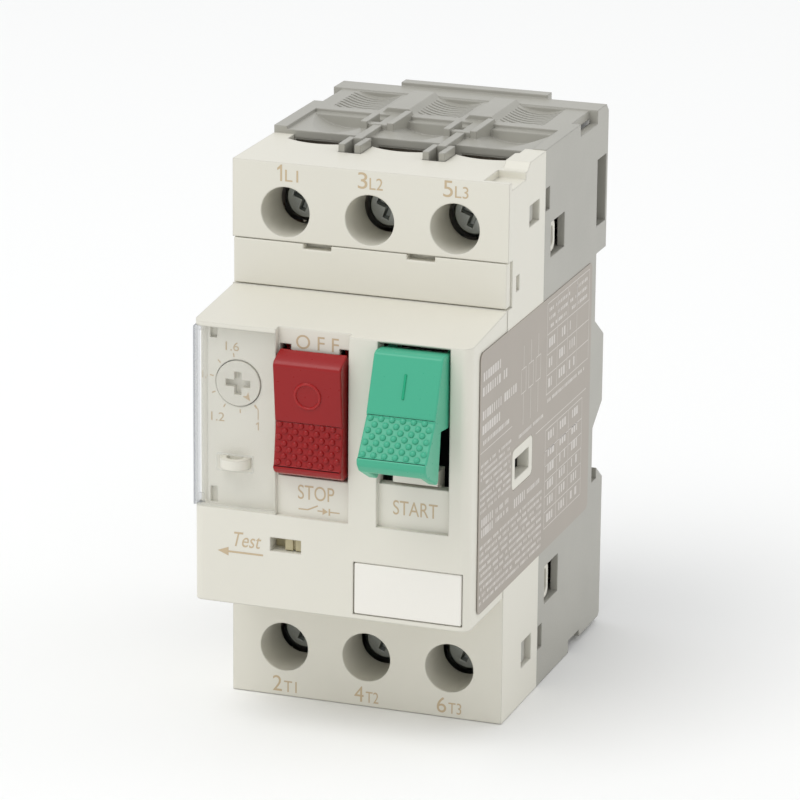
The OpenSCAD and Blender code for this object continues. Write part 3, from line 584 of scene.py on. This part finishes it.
# Clear polycarbonate: seen through from the front, more solid where it is seen edge-on,
# with a painted dark strip along the thick hinge edge on the left, standing in for the shade where it bends
# the light
shader.inputs["IOR"].default_value = 1.585
across_it = add(tree, "ShaderNodeSeparateXYZ", {0: add(tree, "ShaderNodeTexCoord").outputs["Object"]})
# Painted shade: a dark bluish tint, and more solid, along the hinge edge at the left
painted_hinge_shade = add(tree, "ShaderNodeMapRange", {0: across_it.outputs[0], 1: -21.95 * MM, 2: -22.1 * MM})
tint = add(tree, "ShaderNodeMix", {0: painted_hinge_shade.outputs[0], 6: linear("#F2F6F8"), 7: linear("#6F7886")},
           data_type="RGBA")
tree.links.new(tint.outputs[2], shader.inputs["Base Color"])
edge_on = add(tree, "ShaderNodeLayerWeight", {"Blend": 0.35})
body_of_it = add(tree, "ShaderNodeMapRange", {0: edge_on.outputs["Facing"], 1: 0.1, 2: 0.95,
                                              3: 0.03, 4: 0.35})
solidity = add(tree, "ShaderNodeMath", {0: painted_hinge_shade.outputs[0], 1: 0.3, 2: body_of_it.outputs[0]},
               operation="MULTIPLY_ADD", use_clamp=True)
tree.links.new(solidity.outputs[0], shader.inputs["Alpha"])
smears = add(tree, "ShaderNodeTexNoise", {"Vector": add(tree, "ShaderNodeTexCoord").outputs["Object"],
                                          "Scale": 120.0, "Detail": 4.0})
wiped = add(tree, "ShaderNodeMapRange", {0: smears.outputs[0], 3: 0.03, 4: 0.14})
tree.links.new(wiped.outputs[0], shader.inputs["Roughness"])
eased("dial_cover", 0.08, "dial_cover", clear_sheet)

# ---- Test slider
# A pale yellow POM slide in a small window of the nose. Moved left with a
# screwdriver it trips the breaker; the cover round it says which way.
slider_pom = moulded_plastic("pom_moulded_pale_yellow", "#B9AF8C", 0.4, 0.4, 0.008, 0.02)
eased("test_slider", 0.12, "test_slider", slider_pom)
FRONT_Y = -63.0  # mm, the front of the nose
test_arrow = [[(-18.4, -17.2), (-16.6, -16.5), (-16.6, -17.05), (-10.9, -17.05), (-10.9, -17.35),
               (-16.6, -17.35), (-16.6, -17.9)]]
dress(joined("test_marks", [lettering("Test", (-15.7, -11.2), (-16.25, -13.9), FRONT_Y, 0.3),
                            flat_marks(test_arrow, FRONT_Y)]), "housing", tan_ink)

# ---- Printed marks on the cover
# Tan pad print: the words by the two buttons, the contact sign, and the
# number and letter of each terminal above and below its screw.
STOP_Y, START_Y, OFF_Y, BLOCK_Y = -62.2, -62.1, -61.6, -46.0  # mm, the printed faces
marks = [lettering("O F F", (-6.1, 0.8), (16.15, 18.35), OFF_Y),
         lettering("STOP", (-5.5, 0.4), (-7.6, -5.3), STOP_Y),
         lettering("START", (9.9, 17.05), (-8.3, -6.0), START_Y)]
contact_sign = [
    [(-5.4, -9.3), (-5.4, -9.1), (-3.95, -9.1), (-2.3, -8.3), (-2.2, -8.5), (-3.85, -9.3)],
    [(-2.3, -9.3), (-2.3, -9.1), (-1.5, -9.1), (-1.5, -9.3)], [(-1.48, -9.75), (-1.48, -8.65), (-0.6, -9.2)],
    [(-0.5, -9.75), (-0.5, -8.65), (-0.25, -8.65), (-0.25, -9.75)],
    [(-0.23, -9.3), (-0.23, -9.1), (1.3, -9.1), (1.3, -9.3)],
]
marks.append(flat_marks(contact_sign, STOP_Y))
POLE_PITCH, FIGURE_HIGH, LETTERS_HIGH = 13.8, 2.6, 1.85  # mm, for the terminals' marks
for z_low, row_of_marks in ((37.8, (("1", "L1"), ("3", "L2"), ("5", "L3"))),
                            (-45.85, (("2", "T1"), ("4", "T2"), ("6", "T3")))):
    for pole, (figure, letters) in enumerate(row_of_marks):
        x_mid = (pole - 1) * POLE_PITCH
        z_figure, z_letters = (z_low, z_low + FIGURE_HIGH), (z_low, z_low + LETTERS_HIGH)
        if figure == "1":
            marks.append(figure_one((x_mid - 1.35, x_mid - 0.55), z_figure, BLOCK_Y))
        else:
            marks.append(lettering(figure, (x_mid - 1.95, x_mid - 0.4), z_figure, BLOCK_Y))
        marks.append(lettering(letters, (x_mid - 0.05, x_mid + 2.1), z_letters, BLOCK_Y))
dress(joined("cover_print", marks), "housing", tan_ink)

# ---- Terminal screws, clamps and terminals
# Zinc-plated steel screws with cross slots pull square steel plates up under
# the copper terminal strips; each screw sits at the end of its bore.

# Zinc plate: bright grey with a faint bluish cast and a fine crystal haze
zinc_steel = metal("steel_zinc_plated", "#A7ABA8", 0.34, 0.25, (1.0, 1.0, 1.0), 0.05)
for n in range(1, 7):
    eased("terminal_screw_%d" % n, 0.16, "screw_%d" % n, zinc_steel)
    eased("clamp_plate_%d" % n, 0.2, "clamp_%d" % n, zinc_steel)
# Bare copper strip, rolled: warm and slightly dulled
copper_strip = metal("copper_strip_rolled", "#B9744A", 0.36, 0.3, (1.0, 0.25, 1.0), 0.08)
finish_node([kind + "_%d" % n for n in (1, 2, 3)
             for kind in ("line_terminal", "load_terminal", "load_contact", "moving_contact")], copper_strip)

# ---- Rail latch
# A grey sliding hook in the back of the base, with the slot for the
# screwdriver that pulls it down off the rail.
latch_pom = moulded_plastic("pom_moulded_grey", "#8B8D8B", 0.42, 0.4, 0.01, 0.03)
eased("din_latch", 0.22, "rail_latch", latch_pom)

# ---- Switching mechanism and trip
# Behind the cover: black moulded frame, carrier and trip bar, arc chutes,
# copper coils on their bobbins with steel plungers, and bimetal strips.
black_polyamide = moulded_plastic("polyamide_moulded_black", "#2E2F31", 0.46, 0.4, 0.015, 0.04)
enamel = metal("copper_wire_enamelled", "#A2602C", 0.28, 0.2, (1.0, 1.0, 1.0), 0.08)
bimetal = metal("bimetal_rolled", "#B59A6B", 0.34, 0.3, (1.0, 1.0, 0.25), 0.05)
by_slot = {"black_plastic": black_polyamide, "zinc_steel": zinc_steel, "spring_steel": drawn_steel,
           "copper_alloy": copper_strip, "enamelled_copper": enamel, "bimetal_strip": bimetal,
           "base_plastic": base_thermoset, "cover_plastic": cover_polyamide, "white_plastic": marker_styrene,
           "beige_plastic": slider_pom, "latch_plastic": latch_pom, "dial_plastic": dial_plastic}
inside = ["divider_plate", "mechanism_frame", "toggle_lever", "contact_carrier", "contact_springs",
          "trip_bar"]
inside += [kind + "_%d" % n for n in (1, 2, 3)
           for kind in ("arc_chute", "trip_coil", "coil_bobbin", "plunger", "bimetal")]
slot_of = {entry["node"]: entry["material_slot"] for entry in frame["record"]["subparts"]}
for name in inside:
    finish_node([name], by_slot[slot_of[name]])

# ---- Floor and light
# A wide pale sheet, and two big soft lights with a bright room round them:
# the main one in front on the left, a weaker one on the right.
FLOOR_HALF = 4  # m
floor_z = cad_box[0][2] - 0.1 * MM
floor_mesh = bpy.data.meshes.new("floor")
floor_mesh.from_pydata([(u * FLOOR_HALF, v * FLOOR_HALF, floor_z)
                        for u, v in ((-1, -1), (1, -1), (1, 1), (-1, 1))], [], [(0, 1, 2, 3)])
floor = bpy.data.objects.new("floor", floor_mesh)
bpy.context.collection.objects.link(floor)
pale_sheet = bpy.data.materials.new("paper_sheet_white")
pale_sheet.use_nodes = True
sheet_shader = pale_sheet.node_tree.nodes["Principled BSDF"]
sheet_shader.inputs["Base Color"].default_value = linear("#F8F8F7")
sheet_shader.inputs["Roughness"].default_value = 0.9
floor_mesh.materials.append(pale_sheet)

room = bpy.data.worlds.new("bright room")
room.use_nodes = True
room.node_tree.nodes["Background"].inputs["Color"].default_value = linear("#F6F7F8")
room.node_tree.nodes["Background"].inputs["Strength"].default_value = 0.85
bpy.context.scene.world = room
bpy.context.scene.view_settings.view_transform = "Standard"
# Each light: its name, where it stands in m, its width in m and its power in W
for name, stand, width, power in (("main soft light", Vector((-0.5, -0.75, 1.5)), 1.1, 11),
                                  ("right soft light", Vector((1.2, 0.8, 0.5)), 1.0, 2.6)):
    lamp = bpy.data.lights.new(name, "AREA")
    lamp.shape = "SQUARE"
    lamp.size = width
    lamp.energy = power
    holder = bpy.data.objects.new(name, lamp)
    holder.matrix_world = Matrix.Translation(stand) @ stand.to_track_quat("Z", "Y").to_matrix().to_4x4()
    bpy.context.collection.objects.link(holder)
